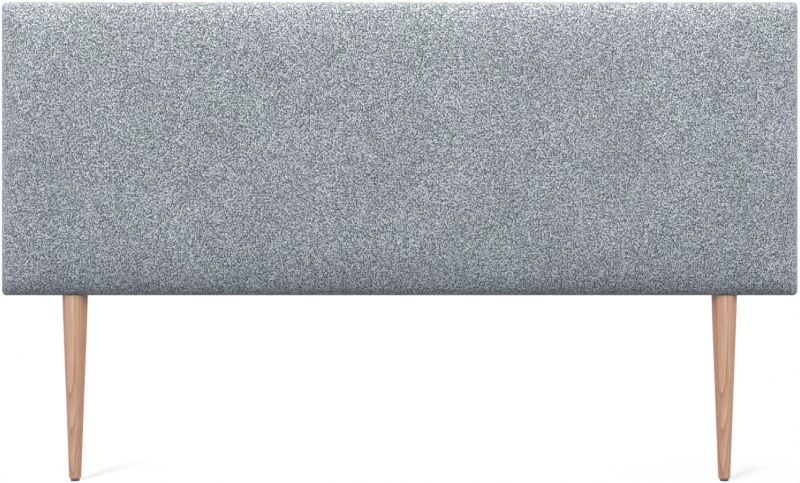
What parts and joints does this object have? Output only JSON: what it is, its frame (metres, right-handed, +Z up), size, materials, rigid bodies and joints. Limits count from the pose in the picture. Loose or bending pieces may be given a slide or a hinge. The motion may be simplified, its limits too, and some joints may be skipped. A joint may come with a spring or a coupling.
{
  "type": "headboard",
  "caption": "Padded rectangular headboard in mottled blue-grey fabric, standing on round tapered wooden legs.",
  "frame": {"origin": "on the floor, under the middle of the whole object", "axes": "+X to the right as seen from the front, the padded front faces -Y, +Z up"},
  "size_m": [1.6, 0.085, 0.965],
  "materials": {
    "upholstery_fabric": "matte",
    "foam": "matte",
    "wadding": "matte",
    "nonwoven": "matte",
    "hardboard": "matte",
    "plywood": "matte",
    "softwood": "matte",
    "leg_wood": "satin",
    "glide": "matte",
    "zinc_steel": "satin",
    "clip_steel": "satin",
    "staple_steel": "satin"
  },
  "bodies": {
    "root": {"board_staples": "staple_steel", "clip_screws": "zinc_steel", "cover": "upholstery_fabric", "dust_cover": "nonwoven", "dust_cover_staples": "staple_steel", "foam_pad": "foam", "frame_bottom_rail": "softwood", "frame_left_stile": "softwood", "frame_middle_stile_left": "softwood", "frame_middle_stile_right": "softwood", "frame_right_stile": "softwood", "frame_top_rail": "softwood", "front_board": "hardboard", "hem_staples": "staple_steel", "leg_bolts": "zinc_steel", "leg_glides": "glide", "leg_left": "leg_wood", "leg_nuts": "zinc_steel", "leg_pad_left": "plywood", "leg_pad_right": "plywood", "leg_right": "leg_wood", "wadding": "wadding", "wall_clip_left": "clip_steel", "wall_clip_right": "clip_steel"}
  },
  "joints": []
}
